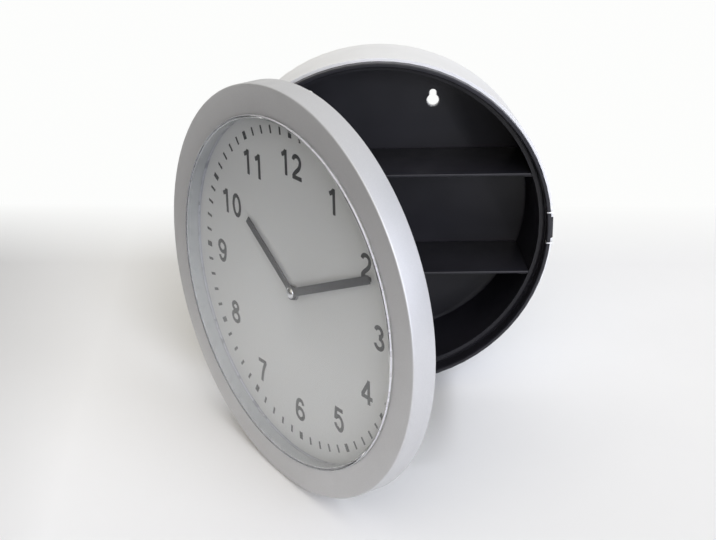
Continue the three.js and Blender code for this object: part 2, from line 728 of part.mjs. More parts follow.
const CANNON_PHASE = 0;
const MOTION_PHASE = meshedPhase(CANNON_TEETH, CANNON_PHASE, MOTION_TEETH, MOTION_DIRECTION);
const MOTION_PINION_PHASE = 0;
const HOUR_PHASE = meshedPhase(
  MOTION_PINION_TEETH, MOTION_PINION_PHASE, HOUR_TEETH, MOTION_DIRECTION + Math.PI,
);
const KNOB_PHASE = meshedPhase(MOTION_TEETH, MOTION_PHASE, KNOB_TEETH, KNOB_DIRECTION);
const CENTRE_PHASE = 0;
const THIRD_PINION_PHASE = meshedPhase(CENTRE_TEETH, CENTRE_PHASE, THIRD_PINION_TEETH, THIRD_DIRECTION);
const THIRD_PHASE = 0;
const SECONDS_PINION_PHASE = meshedPhase(THIRD_TEETH, THIRD_PHASE, SECONDS_PINION_TEETH, SECONDS_DIRECTION);
const SECONDS_PHASE = 0;
const INTERMEDIATE_PINION_PHASE = meshedPhase(
  SECONDS_TEETH, SECONDS_PHASE, INTERMEDIATE_PINION_TEETH, INTERMEDIATE_DIRECTION,
);
const INTERMEDIATE_PHASE = 0;
const ROTOR_PINION_PHASE = meshedPhase(
  INTERMEDIATE_TEETH, INTERMEDIATE_PHASE, ROTOR_PINION_TEETH, ROTOR_DIRECTION,
);

function hourWheel() {
  const boreR = CANNON_R + RUNNING_GAP;
  const pipeFront = HOUR_HAND_FRONT - SEAT_GAP / 2;
  const pipe = doorTurned([
    [boreR, pipeFront],
    [PIPE_R, pipeFront],
    [PIPE_R, layerFront(0) + GEAR_WIDTH],
    [boreR, layerFront(0) + GEAR_WIDTH],
  ], SMALL_FACETS);
  return pipe.add(gear(HOUR_TEETH, HOUR_MODULE, HOUR_PHASE, 0, boreR));
}

function cannonPinion() {
  return arbor(CANNON_R, MINUTE_HAND_FRONT).add(gear(CANNON_TEETH, MOTION_MODULE, CANNON_PHASE, 1));
}

function motionWheel() {
  return arbor(ARBOR_R, INSIDE_FRONT + ARBOR_PLAY, layerFront(1) + GEAR_WIDTH)
    .add(gear(MOTION_PINION_TEETH, HOUR_MODULE, MOTION_PINION_PHASE, 0))
    .add(gear(MOTION_TEETH, MOTION_MODULE, MOTION_PHASE, 1));
}

function settingKnob() {
  const knobFront = CASE_REAR + SEAT_GAP;
  const stem = doorCylinder(KNOB_STEM_R, layerFront(1), knobFront, 0, 0, TINY_FACETS);
  const pivot = doorCylinder(ARBOR_R, INSIDE_FRONT + ARBOR_PLAY, layerFront(1), 0, 0, TINY_FACETS);
  return stem.add(pivot)
    .add(gear(KNOB_TEETH, MOTION_MODULE, KNOB_PHASE, 1))
    .add(doorCylinder(KNOB_R, knobFront, knobFront + KNOB_HEIGHT, 0, 0));
}

function centreWheel() {
  return gear(CENTRE_TEETH, CENTRE_MODULE, CENTRE_PHASE, 2, CANNON_R + RUNNING_GAP);
}

function thirdWheel() {
  return arbor()
    .add(gear(THIRD_PINION_TEETH, CENTRE_MODULE, THIRD_PINION_PHASE, 2))
    .add(gear(THIRD_TEETH, THIRD_MODULE, THIRD_PHASE, 3));
}

function secondsWheel() {
  return arbor()
    .add(gear(SECONDS_PINION_TEETH, THIRD_MODULE, SECONDS_PINION_PHASE, 3))
    .add(gear(SECONDS_TEETH, SECONDS_MODULE, SECONDS_PHASE, 4));
}

function intermediateWheel() {
  return arbor()
    .add(gear(INTERMEDIATE_PINION_TEETH, SECONDS_MODULE, INTERMEDIATE_PINION_PHASE, 4))
    .add(gear(INTERMEDIATE_TEETH, INTERMEDIATE_MODULE, INTERMEDIATE_PHASE, 5));
}

function rotor() {
  const magnetFront = layerFront(6);
  return arbor()
    .add(gear(ROTOR_PINION_TEETH, INTERMEDIATE_MODULE, ROTOR_PINION_PHASE, 5))
    .add(doorCylinder(ROTOR_R, magnetFront, magnetFront + ROTOR_HEIGHT, 0, 0));
}

const STATOR_FRONT = layerFront(6) + (ROTOR_HEIGHT - STATOR_THICKNESS) / 2;

function stator() {
  const [rotorX, rotorZ] = ROTOR_AT;
  const holeR = ROTOR_R + STATOR_GAP;
  const poleR = holeR + STATOR_POLE_WALL;
  const [z0, z1] = [COIL_Z - COIL_LENGTH / 2, COIL_Z + COIL_LENGTH / 2];
  const [x0, x1] = [rotorX, COIL_X + STATOR_WALL / 2];
  const w = STATOR_WALL;
  const rear = STATOR_FRONT + STATOR_THICKNESS;
  const slab = (...sides) => doorPlate(rectangle(...sides), STATOR_FRONT, rear);
  const cutFront = STATOR_FRONT - THROUGH;
  const cutRear = rear + THROUGH;
  const loop = slab(x0 - w, x1, z0 - 2 * w, z1 + 2 * w)
    .subtract(doorPlate(rectangle(x0, x1 - w, z0 - w, z1 + w), cutFront, cutRear));
  const pole = slab(rotorX - poleR, rotorX + poleR, rotorZ - poleR, rotorZ + poleR);
  return loop.add(pole).subtract(doorCylinder(holeR, cutFront, cutRear, rotorX, rotorZ));
}

function coil() {
  const boreR = Math.hypot(STATOR_WALL, STATOR_THICKNESS) / 2 + SEAT_GAP;
  const profile = [[boreR, 0], [COIL_R, 0], [COIL_R, COIL_LENGTH], [boreR, COIL_LENGTH]];
  const depth = STATOR_FRONT + STATOR_THICKNESS / 2;
  return turned(profile, SMALL_FACETS)
    .rotate([90, 0, 0])
    .translate([COIL_X, FRONT_Y + depth, COIL_Z - COIL_LENGTH / 2]);
}

function circuitBoard() {
  const x0 = -CASE_WIDTH / 2 + CASE_WALL + SEAT_GAP;
  const z1 = CASE_WIDTH / 2 - CASE_WALL - SEAT_GAP;
  const front = INSIDE_REAR - SEAT_GAP - BOARD_THICKNESS;
  return doorPlate(rectangle(x0, x0 + BOARD_WIDTH, z1 - BOARD_HEIGHT, z1), front, front + BOARD_THICKNESS);
}

// Battery bay along the bottom of the movement case, closed off by a partition
const BAY_HEIGHT = 2 * (BATTERY_R + BATTERY_PLAY);
const BAY_BOTTOM = -CASE_WIDTH / 2 + CASE_WALL;
const BAY_TOP = BAY_BOTTOM + BAY_HEIGHT;
const BATTERY_Z = (BAY_BOTTOM + BAY_TOP) / 2;
const BATTERY_DEPTH = INSIDE_FRONT + SEAT_GAP + BATTERY_R;
const GEARS_BOTTOM = BAY_TOP + CASE_WALL;

function movementCase() {
  const half = CASE_WIDTH / 2;
  const inner = half - CASE_WALL;
  const cutRear = CASE_REAR + THROUGH;
  const body = doorPlate(rectangle(-half, half, -half, half), CASE_FRONT, CASE_REAR);
  const gearRoom = doorPlate(rectangle(-inner, inner, GEARS_BOTTOM, inner), INSIDE_FRONT, cutRear);
  const bay = doorPlate(rectangle(-inner, inner, BAY_BOTTOM, BAY_TOP), INSIDE_FRONT, cutRear);
  const neck = doorCylinder(NECK_R, NECK_FRONT, CASE_FRONT + CASE_WALL / 2);
  const bore = doorCylinder(PIPE_R + RUNNING_GAP, NECK_FRONT - THROUGH, INSIDE_FRONT + THROUGH);
  return body.add(neck).subtract(gearRoom).subtract(bay).subtract(bore);
}

function movementCover() {
  const inner = CASE_WIDTH / 2 - CASE_WALL - SEAT_GAP;
  const shape = rectangle(-inner, inner, GEARS_BOTTOM + SEAT_GAP, inner);
  const cover = doorPlate(shape, CASE_REAR - CASE_WALL, CASE_REAR);
  const [x, z] = KNOB_AT;
  const [front, rear] = [CASE_REAR - CASE_WALL - THROUGH, CASE_REAR + THROUGH];
  return cover.subtract(doorCylinder(KNOB_STEM_R + RUNNING_GAP, front, rear, x, z));
}

function panelWasher() {
  const front = BACK_REAR + SEAT_GAP;
  return disc(NECK_R + RUNNING_GAP, WASHER_R, front, front + WASHER_THICKNESS, SMALL_FACETS);
}

function panelNut() {
  const corner = NUT_FLATS / 2 / Math.cos(Math.PI / 6);
  const points = Array.from({ length: 6 }, (_, i) => [
    corner * Math.cos(i * Math.PI / 3),
    corner * Math.sin(i * Math.PI / 3),
  ]);
  const shape = closedShape(points);
  const bore = new THREE.Path();
  bore.absarc(0, 0, NECK_R + RUNNING_GAP, 0, 2 * Math.PI, true);
  shape.holes.push(bore);
  return doorPlate(shape, NUT_FRONT, NUT_FRONT + NUT_HEIGHT);
}

function battery() {
  const start = -(BATTERY_LENGTH + BATTERY_NUB_HEIGHT) / 2;
  const end = start + BATTERY_LENGTH;
  const edge = BATTERY_EDGE;
  const profile = [
    [0, start],
    [BATTERY_R - edge, start],
    [BATTERY_R, start + edge],
    [BATTERY_R, end - edge],
    [BATTERY_R - edge, end],
    [BATTERY_NUB_R, end],
    [BATTERY_NUB_R, end + BATTERY_NUB_HEIGHT],
    [0, end + BATTERY_NUB_HEIGHT],
  ];
  return turned(profile, SMALL_FACETS)
    .rotate([0, 0, -90])
    .translate([0, FRONT_Y + BATTERY_DEPTH, BATTERY_Z]);
}

function batteryContact(side) {
  const wallX = CASE_WIDTH / 2 - CASE_WALL - SEAT_GAP;
  const bump = wallX - CONTACT_THICKNESS - (BATTERY_LENGTH + BATTERY_NUB_HEIGHT) / 2 - SEAT_GAP;
  const half = CONTACT_WIDTH / 2;
  const x = [wallX - CONTACT_THICKNESS, wallX].map((value) => side * value).sort((a, b) => a - b);
  const y = FRONT_Y + BATTERY_DEPTH;
  const leaf = block(x, [y - half, y + half], [BATTERY_Z - half, BATTERY_Z + half]);
  const overlap = CONTACT_THICKNESS / 2;
  const profile = [[0, -overlap], [BATTERY_NUB_R, -overlap], [BATTERY_NUB_R / 2, bump], [0, bump]];
  const dimple = turned(profile, TINY_FACETS)
    .rotate([0, 0, side * 90])
    .translate([side * (wallX - CONTACT_THICKNESS), y, BATTERY_Z]);
  return leaf.add(dimple);
}

// Materials
function paint(color, roughness, metalness = 0) {
  return new THREE.MeshStandardMaterial({ color, roughness, metalness });
}

const silver = () => paint(0x9b9b9c, 0.42, 0.35);
const black = () => paint(0x131315, 0.5);
const steel = () => paint(0x9a9a9c, 0.3, 1);
const brassMetal = () => paint(0xb08d4a, 0.35, 1);
const whitePlastic = () => paint(0xdedcd4, 0.5);

function piece(parent, name, solid, material, [x, z] = [0, 0]) {
  const mesh = new THREE.Mesh(toGeometry(solid), material);
  mesh.name = name;
  mesh.position.set(x, 0, z);
  parent.add(mesh);
  return mesh;
}

// Box, standing still
const clockSafe = new THREE.Group();
piece(clockSafe, 'case_shell', caseShell(), silver());
piece(clockSafe, 'liner_tub', linerTub(), black());
piece(clockSafe, 'upper_shelf', shelf(1), black());
piece(clockSafe, 'lower_shelf', shelf(-1), black());
piece(clockSafe, 'latch_tab', latchTab(), black());
piece(clockSafe, 'hinge_pin', hingePin(), steel());

// Door, turned about the hinge pin. Its pieces are drawn as if the door were closed.
const doorSwing = new THREE.Group();
doorSwing.position.set(-HINGE_OFFSET, HINGE_Y, 0);
doorSwing.rotation.z = -OPEN_ANGLE * DEG;
const door = new THREE.Group();
door.position.set(HINGE_OFFSET, -HINGE_Y, 0);
doorSwing.add(door);
clockSafe.add(doorSwing);

piece(door, 'door_bezel', doorBezel(), silver());
piece(door, 'lens', lens(), paint(0xf2f5f6, 0.05));
piece(door, 'dial', dial(), paint(0xa2a3a2, 0.5, 0.3));
piece(door, 'door_back', doorBack(), black());
piece(door, 'door_catch', doorCatch(), black());
screwPlaces().forEach((place, i) => piece(door, `door_screw_${i + 1}`, doorScrew(place), steel()));

piece(door, 'movement_case', movementCase(), black());
piece(door, 'movement_cover', movementCover(), black());
piece(door, 'panel_washer', panelWasher(), paint(0x1c1c1c, 0.8));
piece(door, 'panel_nut', panelNut(), steel());
piece(door, 'stator', stator(), steel());
piece(door, 'coil', coil(), paint(0x9c4a22, 0.4, 0.6));
piece(door, 'circuit_board', circuitBoard(), paint(0x2f5b35, 0.5));
piece(door, 'positive_contact', batteryContact(1), steel());
piece(door, 'negative_contact', batteryContact(-1), steel());
piece(door, 'battery', battery(), paint(0x55585c, 0.35, 0.3));

piece(door, 'hour_wheel', hourWheel(), whitePlastic(), CENTRE_AT);
piece(door, 'cannon_pinion', cannonPinion(), brassMetal(), CENTRE_AT);
piece(door, 'motion_wheel', motionWheel(), whitePlastic(), MOTION_AT);
piece(door, 'setting_knob', settingKnob(), whitePlastic(), KNOB_AT);
piece(door, 'centre_wheel', centreWheel(), whitePlastic(), CENTRE_AT);
piece(door, 'third_wheel', thirdWheel(), whitePlastic(), THIRD_AT);
piece(door, 'seconds_wheel', secondsWheel(), whitePlastic(), SECONDS_AT);
piece(door, 'intermediate_wheel', intermediateWheel(), whitePlastic(), INTERMEDIATE_AT);
piece(door, 'rotor', rotor(), paint(0x4b4b4f, 0.4, 0.6), ROTOR_AT);

// Hands, each turned clockwise from twelve
const minuteAngle = MINUTE * 6 * DEG;
const hourAngle = (HOUR + MINUTE / 60) * 30 * DEG;
piece(door, 'hour_hand', hourHand(), paint(0x3a3b3d, 0.5)).rotation.y = hourAngle;
piece(door, 'minute_hand', minuteHand(), paint(0x3a3b3d, 0.5)).rotation.y = minuteAngle;
piece(door, 'hand_cap', handCap(), paint(0xc9cacc, 0.2, 1)).rotation.y = minuteAngle;

export default clockSafe;
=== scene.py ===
import json
import math
from collections import namedtuple

import bmesh
import bpy
from mathutils import Matrix, Vector


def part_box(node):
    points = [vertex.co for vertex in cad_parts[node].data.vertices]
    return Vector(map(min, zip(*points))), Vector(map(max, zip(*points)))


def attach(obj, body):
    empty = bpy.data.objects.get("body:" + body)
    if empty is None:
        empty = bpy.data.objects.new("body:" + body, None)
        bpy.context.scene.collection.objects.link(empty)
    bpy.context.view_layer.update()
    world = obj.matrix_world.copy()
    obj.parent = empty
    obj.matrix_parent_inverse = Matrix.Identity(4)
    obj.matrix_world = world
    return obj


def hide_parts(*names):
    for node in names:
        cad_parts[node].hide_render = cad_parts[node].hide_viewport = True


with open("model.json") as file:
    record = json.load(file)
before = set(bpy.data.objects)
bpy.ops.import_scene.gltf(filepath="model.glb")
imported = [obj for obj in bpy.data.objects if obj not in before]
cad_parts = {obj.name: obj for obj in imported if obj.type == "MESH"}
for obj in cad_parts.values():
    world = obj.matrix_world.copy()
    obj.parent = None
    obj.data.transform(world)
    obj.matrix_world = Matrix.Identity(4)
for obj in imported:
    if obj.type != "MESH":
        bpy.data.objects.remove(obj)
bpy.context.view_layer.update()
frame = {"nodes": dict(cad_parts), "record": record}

# Real sizes in millimetres, the same as in the CAD source
MM = 0.001
OPEN_ANGLE = 53
HINGE = (-116.8, -65.8)
FRONT_Y = -79.8
DOOR_R = 125
DOOR_DEPTH = 15.4
SKIRT_WALL = 2.4
FACE_WALL = 2.2
BORE_R = 107.6
BORE_WALL = 2.2
LENS_RISE = 1.9
LENS_THICKNESS = 1.8
LENS_SKIRT = 1.3
LENS_FLANGE = 1
LENS_FLANGE_HEIGHT = 1.2
LENS_FROST = 0.4
DIAL_DEPTH = 10.3
DIAL_THICKNESS = 0.7
SEAT_GAP = 0.3
LENS_R = BORE_R - SEAT_GAP
FLANGE_R = LENS_R + LENS_FLANGE
LENS_END = DIAL_DEPTH - SEAT_GAP
FLANGE_FRONT = LENS_END - LENS_FLANGE_HEIGHT
SCREW_CIRCLE_R = 116.2
SCREW_COUNT = 6
BOSS_R = 3.2
BOSS_BORE_R = 1.4
BOSS_FRONT = 2.1
DIAL_HOLE_R = 4.1

# Roundings
BEZEL_FRONT_ROUND = 1.1
BEZEL_REAR_ROUND = 0.8
BORE_ROUND = 0.25
LENS_EDGE_ROUND = 1.3
LENS_INNER_ROUND = 0.9
BOSS_ROUND = 0.3
DIAL_ROUND = 0.08
COARSE_ROUND = 0.4
MEDIUM_ROUND = 0.2
FINE_ROUND = 0.1

# Domed cap of the hands: radius and depth behind its front
CAP_CURVE = (
    (0, 0), (1.0, 0.08), (1.9, 0.34), (2.7, 0.85), (3.3, 1.45),
    (3.55, 1.8), (3.6, 2.05), (3.5, 2.2), (0, 2.2),
)
CAP_DEPTH = 2.2

# Lugs of the shell that show in the two notches beside the latch tab
RIM_Y = -66
RIM_LENGTH = 5.5
LUG_LEVEL = 10.5
LUG_HEIGHT = 1.3
LUG_FROM_R = 107.4
LUG_TO_R = 111.6
LUG_EDGE = 0.2

# Printed marks on the dial
NUMERAL_REACH_X = 81.5
NUMERAL_REACH_Z = 78.5
NUMERAL_HEIGHT = 15.5
NUMERAL_WIDTH = 10.5
NUMERAL_PITCH = 12
NUMERAL_NUDGE = {4: (-1.8, 1), 8: (1, 1.2), 10: (3.2, -3.3)}
STROKE = 2.6
TICK_INNER_R = 94.2
TICK_OUTER_R = 99.2
MINUTE_TICK_WIDTH = 1.8
HOUR_TICK_WIDTH = 3.4
PRINT_SHIFT = (1.1, 0.5)
INK_THICKNESS = 0.05
INK_LAYERS = 3
INK_LAYER_STEP = 0.2

# Camera, fitted to the photograph. The picture is 716 x 540 pixels.
CAMERA_AT = (4.92, -981.86, 362.34)
CAMERA_YAW = -0.0122
CAMERA_PITCH = 0.4257
CAMERA_ROLL = -0.0169
CAMERA_LENS = 76.61
CAMERA_SHIFT = (-0.01915, 0.04929)

# Surface that the open clock stands on, leaning back: its normal and the point under the door
FLOOR_NORMAL = (0.0151, -0.1285, 0.9916)
FLOOR_POINT = (-54.6, -147.5, -124.3)
FLOOR_X = (-2500, 1500)
FLOOR_Y = (-900, 4000)
FLOOR_STEP = 40
FLOOR_BEND_Y = 140
FLOOR_BEND_LENGTH = 120

# Hollow in it for the closed door, and the places where it has fine steps
HOLLOW_LEVEL = -125.7
HOLLOW_SIDE = (22, 50)
HOLLOW_REAR = (-58, -5)
FLOOR_FINE_X = (-100, 100)
FLOOR_FINE_Y = (-180, 20)
FLOOR_FINE_STEP = 5

# How the floor's colour darkens to the left, as painted shade so that less light comes from there, and where
# it turns white, in metres
FLOOR_COLOR = (0.825, 0.825, 0.82)
FLOOR_PAINTED_SHADE_SHARE = 0.1
FLOOR_PAINTED_SHADE_X = (-0.52, -0.2)
FLOOR_WHITE = (0.98, 0.985, 0.975)
FLOOR_WHITE_Y = (0.1, 0.2)
FLOOR_WHITE_REACH = (0.8, 1.6)

# Surroundings: soft light from above in front, from the front right, from above right and from above behind,
# which leaves the left dim. Each is a direction, the cosine at which it begins, a colour and a strength.
Lobe = namedtuple("Lobe", "toward start color strength")
LOBES = (
    Lobe(toward=(0.0, -0.7, 0.7), start=0.5, color=(1.13, 1.02, 0.84), strength=1.1),
    Lobe(toward=(0.5, -0.8, 0.3), start=0.7, color=(0.92, 0.97, 1.14), strength=3.0),
    Lobe(toward=(0.4, -0.4, 0.8), start=0.6, color=(0.85, 0.98, 1.18), strength=0.6),
    Lobe(toward=(0.0, 0.7, 0.7), start=0.5, color=(1.05, 1.02, 0.9), strength=0.6),
)
DIM = 0.01
SEEN_WHITE = (0.985, 0.985, 0.975)
SEEN_FROM = 0.3
SEEN_FULL = 0.7

# Widths of the softened edges of the CAD solids, in the order in which they are made
EDGE_WIDTHS = {
    "case_shell": 0.3,
    "liner_tub": 0.2,
    "latch_tab": 0.2,
    "upper_shelf": 0.1,
    "lower_shelf": 0.1,
    "hinge_pin": 0.2,
    "door_back": 0.25,
    "door_catch": 0.2,
    "movement_case": 0.25,
    "movement_cover": 0.2,
    "hour_hand": 0.1,
    "minute_hand": 0.1,
    "setting_knob": 0.12,
    "panel_nut": 0.12,
    "panel_washer": 0.1,
    "battery": 0.15,
    **{f"door_screw_{i}": 0.15 for i in range(1, SCREW_COUNT + 1)},
}
EDGE_ANGLE = 28
WELD = 2e-6
FLAT_ANGLE = 0.4

LARGE_STEPS = 256
SMALL_STEPS = 64
BOSS_STEPS = 32


def body_of_node(node):
    for body, members in frame["record"]["behaviour"]["bodies"].items():
        if node in members:
            return body
    raise ValueError(node)


def slot_of_node(node):
    return next(s["material_slot"] for s in frame["record"]["subparts"] if s["node"] == node)


# The open door: closed-door coordinates are turned about the hinge pin
def door_matrix():
    hinge = Vector((HINGE[0] * MM, HINGE[1] * MM, 0))
    turn = Matrix.Rotation(math.radians(-OPEN_ANGLE), 4, "Z")
    return Matrix.Translation(hinge) @ turn @ Matrix.Translation(-hinge)


DOOR = door_matrix()


# Mesh helpers
def new_piece(name, mesh, look, body, replaced=()):
    piece = bpy.data.objects.new(name, mesh)
    bpy.context.scene.collection.objects.link(piece)
    mesh.materials.clear()
    mesh.materials.append(look)
    if replaced:
        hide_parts(*replaced)
    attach(piece, body)
    return piece


def soften(piece, width):
    edge = piece.modifiers.new("edges", "BEVEL")
    edge.width = width * MM
    edge.segments = 2
    return edge


def smooth(mesh, angle=35):
    mesh.shade_smooth()
    mesh.set_sharp_from_angle(angle=math.radians(angle))


def mesh_from(name, bm):
    bmesh.ops.recalc_face_normals(bm, faces=bm.faces)
    mesh = bpy.data.meshes.new(name)
    bm.to_mesh(mesh)
    bm.free()
    return mesh


def rounded(points, radius, steps=3):
    """Closed profile with rounded corners. A point may carry its own radius as a third number."""
    out = []
    count = len(points)
    for i in range(count):
        here = Vector(points[i][:2])
        back = Vector(points[i - 1][:2]) - here
        ahead = Vector(points[(i + 1) % count][:2]) - here
        wanted = points[i][2] if len(points[i]) > 2 else radius
        turn = back.angle(ahead, 0)
        reach = min(wanted / max(math.tan(turn / 2), 1e-6), back.length * 0.45, ahead.length * 0.45)
        if wanted <= 0 or here.x < 1e-6 or abs(turn - math.pi) < 0.05:
            out.append(tuple(here))
            continue
        a, b = here + back.normalized() * reach, here + ahead.normalized() * reach
        for k in range(steps + 1):
            t = k / steps
            out.append(tuple((1 - t) ** 2 * a + 2 * t * (1 - t) * here + t * t * b))
    return out


def lathe(bm, profile, steps=LARGE_STEPS, centre=(0, 0)):
    """Adds a closed profile of (radius, y) points turned round the Y axis, in millimetres."""
    rings = []
    for radius, y in profile:
        if radius < 1e-6:
            rings.append([bm.verts.new((centre[0] * MM, y * MM, centre[1] * MM))])
            continue
        ring = []
        for i in range(steps):
            a = 2 * math.pi * i / steps
            x, z = centre[0] + radius * math.cos(a), centre[1] + radius * math.sin(a)
            ring.append(bm.verts.new((x * MM, y * MM, z * MM)))
        rings.append(ring)
    for first, second in zip(rings, rings[1:] + rings[:1]):
        if len(first) == 1 and len(second) == 1:
            continue
        for i in range(steps):
            j = (i + 1) % steps
            if len(first) == 1:
                bm.faces.new((first[0], second[j], second[i]))
            elif len(second) == 1:
                bm.faces.new((first[i], first[j], second[0]))
            else:
                bm.faces.new((first[i], first[j], second[j], second[i]))


def door_lathe(name, profile, slot, replaced):
    """A turned piece of the door, in the material of its slot."""
    bm = bmesh.new()
    lathe(bm, [(r, FRONT_Y + d) for r, d in profile])
    bmesh.ops.transform(bm, matrix=DOOR, verts=bm.verts)
    mesh = mesh_from(name, bm)
    smooth(mesh)
    return new_piece(name, mesh, MATERIALS[slot], "door", replaced)


# Material helpers. The owner of a node is a material or the world.
Cloud = namedtuple("Cloud", "scale detail dark light")
Gloss = namedtuple("Gloss", "scale detail low high")
Grain = namedtuple("Grain", "scale detail strength distance")


def material(name, color, roughness, metallic=0.0, **more):
    mat = bpy.data.materials.new(name)
    mat.use_nodes = True
    shader = shader_of(mat)
    shader.inputs["Base Color"].default_value = (*color, 1)
    shader.inputs["Roughness"].default_value = roughness
    shader.inputs["Metallic"].default_value = metallic
    for key, value in more.items():
        shader.inputs[key].default_value = value
    return mat


def shader_of(mat):
    return mat.node_tree.nodes["Principled BSDF"]


def node(owner, kind, **values):
    made = owner.node_tree.nodes.new(kind)
    for key, value in values.items():
        if key in made.inputs:
            made.inputs[key].default_value = value
        else:
            setattr(made, key, value)
    return made


def link(owner, source, target):
    owner.node_tree.links.new(source, target)


def joined(owner, operation, first, second):
    """Two values, joined by an operation of the maths node."""
    made = node(owner, "ShaderNodeMath", operation=operation)
    link(owner, first, made.inputs[0])
    link(owner, second, made.inputs[1])
    return made.outputs["Value"]


def noise(owner, scale, detail=3.0, stretch=None):
    place = node(owner, "ShaderNodeTexCoord").outputs["Object"]
    if stretch:
        mapping = node(owner, "ShaderNodeMapping", Scale=stretch)
        link(owner, place, mapping.inputs["Vector"])
        place = mapping.outputs["Vector"]
    texture = node(owner, "ShaderNodeTexNoise", Scale=scale, Detail=detail, Roughness=0.5)
    link(owner, place, texture.inputs["Vector"])
    return texture.outputs["Fac"]


def spread(owner, value, low, high, start=0.3, end=0.7, blend="LINEAR"):
    """A value, remapped from start..end to low..high. The usual range is that of a noise."""
    remap = node(owner, "ShaderNodeMapRange", interpolation_type=blend)
    remap.inputs["From Min"].default_value = start
    remap.inputs["From Max"].default_value = end
    remap.inputs["To Min"].default_value = low
    remap.inputs["To Max"].default_value = high
    link(owner, value, remap.inputs["Value"])
    return remap.outputs["Result"]


def tint(owner, value, dark, light):
    """Colour between two colours by a noise value."""
    ramp = node(owner, "ShaderNodeValToRGB")
    ramp.color_ramp.elements[0].position = 0.3
    ramp.color_ramp.elements[0].color = (*dark, 1)
    ramp.color_ramp.elements[1].position = 0.7
    ramp.color_ramp.elements[1].color = (*light, 1)
    link(owner, value, ramp.inputs["Fac"])
    return ramp.outputs["Color"]


def mixed_colors(owner, blend, factor, first, second):
    made = node(owner, "ShaderNodeMix", data_type="RGBA", blend_type=blend)
    made.inputs["Factor"].default_value = factor
    link(owner, first, made.inputs["A"])
    link(owner, second, made.inputs["B"])
    return made.outputs["Result"]


def mixed_shaders(owner, share, first, second):
    made = node(owner, "ShaderNodeMixShader")
    link(owner, share, made.inputs["Fac"])
    link(owner, first, made.inputs[1])
    link(owner, second, made.inputs[2])
    return made.outputs["Shader"]


def bump(mat, value, strength, distance):
    made = node(mat, "ShaderNodeBump", Strength=strength, Distance=distance)
    link(mat, value, made.inputs["Height"])
    link(mat, made.outputs["Normal"], shader_of(mat).inputs["Normal"])


def scaled(color, factor):
    return tuple(c * factor for c in color)


def clouded(mat, color, cloud):
    return tint(
        mat, noise(mat, cloud.scale, cloud.detail), scaled(color, cloud.dark), scaled(color, cloud.light)
    )


def detail(mat, color, cloud=None, gloss=None, grain=None):
    """Adds cloudiness of the colour, changes of gloss and a fine grain to a material."""
    shader = shader_of(mat)
    if cloud:
        link(mat, clouded(mat, color, cloud), shader.inputs["Base Color"])
    if gloss:
        changes = spread(mat, noise(mat, gloss.scale, gloss.detail), gloss.low, gloss.high)
        link(mat, changes, shader.inputs["Roughness"])
    if grain:
        bump(mat, noise(mat, grain.scale, grain.detail), grain.strength, grain.distance)
    return mat


# Silver paint: a little metallic, with fine flake, faint orange peel and cloudiness
def silver_paint(name, color):
    mat = material(name, color, 0.4, 0.35)
    cloud = clouded(mat, color, Cloud(scale=14, detail=4, dark=0.96, light=1.03))
    flake = tint(mat, noise(mat, 2600, 1), (0.44, 0.44, 0.44), (0.56, 0.56, 0.56))
    link(mat, mixed_colors(mat, "OVERLAY", 0.5, cloud, flake), shader_of(mat).inputs["Base Color"])
    return detail(
        mat, color,
        gloss=Gloss(scale=90, detail=5, low=0.36, high=0.46),
        grain=Grain(scale=700, detail=3, strength=0.12, distance=0.00006),
    )


# Black moulded plastic: fine spark texture and slight sheen changes
def black_plastic():
    color = (0.012, 0.0117, 0.0152)
    return detail(
        material("black_plastic", color, 0.38, **{"Specular IOR Level": 0.4}), color,
        cloud=Cloud(scale=25, detail=5, dark=0.85, light=1.3),
        gloss=Gloss(scale=60, detail=6, low=0.34, high=0.43),
        grain=Grain(scale=1800, detail=2, strength=0.2, distance=0.00005),
    )


# Clear moulded plastic, which lets the light through to the dial
def clear_lens():
    color = (0.97, 0.98, 0.98)
    mat = material("clear_lens", color, 0.02, **{"Transmission Weight": 1.0, "IOR": 1.49})
    detail(
        mat, color,
        gloss=Gloss(scale=40, detail=4, low=0.01, high=0.035),
        grain=Grain(scale=30, detail=2, strength=0.01, distance=0.0001),
    )
    clear = node(mat, "ShaderNodeBsdfTransparent", Color=(0.93, 0.94, 0.94, 1))
    shadow = node(mat, "ShaderNodeLightPath").outputs["Is Shadow Ray"]
    mix = mixed_shaders(mat, shadow, shader_of(mat).outputs["BSDF"], clear.outputs["BSDF"])
    link(mat, mix, mat.node_tree.nodes["Material Output"].inputs["Surface"])
    return mat


# Frosted edge of the lens. Its whitish colour is also a painted highlight for the bright glints of light in
# the edge.
def lens_edge():
    color = (0.72, 0.72, 0.76)
    return detail(
        material("lens_edge", color, 0.3, **{"Transmission Weight": 0.3, "IOR": 1.49}), color,
        cloud=Cloud(scale=60, detail=4, dark=0.9, light=1.05),
        gloss=Gloss(scale=120, detail=4, low=0.22, high=0.4),
        grain=Grain(scale=600, detail=2, strength=0.05, distance=0.00004),
    )


def dial_grey():
    color = (0.722, 0.719, 0.708)
    return detail(
        material("dial_grey", color, 0.55), color,
        cloud=Cloud(scale=900, detail=3, dark=0.985, light=1.015),
        gloss=Gloss(scale=300, detail=3, low=0.5, high=0.6),
        grain=Grain(scale=1500, detail=2, strength=0.03, distance=0.00003),
    )


def dial_ink():
    color = (0.034, 0.034, 0.036)
    return detail(
        material("dial_ink", color, 0.5), color,
        cloud=Cloud(scale=1200, detail=3, dark=0.8, light=1.35),
        grain=Grain(scale=2500, detail=2, strength=0.1, distance=0.00002),
    )


def hand_paint():
    color = (0.036, 0.036, 0.04)
    return detail(
        material("hand_paint", color, 0.42, 0.2), color,
        cloud=Cloud(scale=400, detail=4, dark=0.85, light=1.2),
        gloss=Gloss(scale=200, detail=3, low=0.36, high=0.5),
        grain=Grain(scale=1800, detail=2, strength=0.1, distance=0.00003),
    )


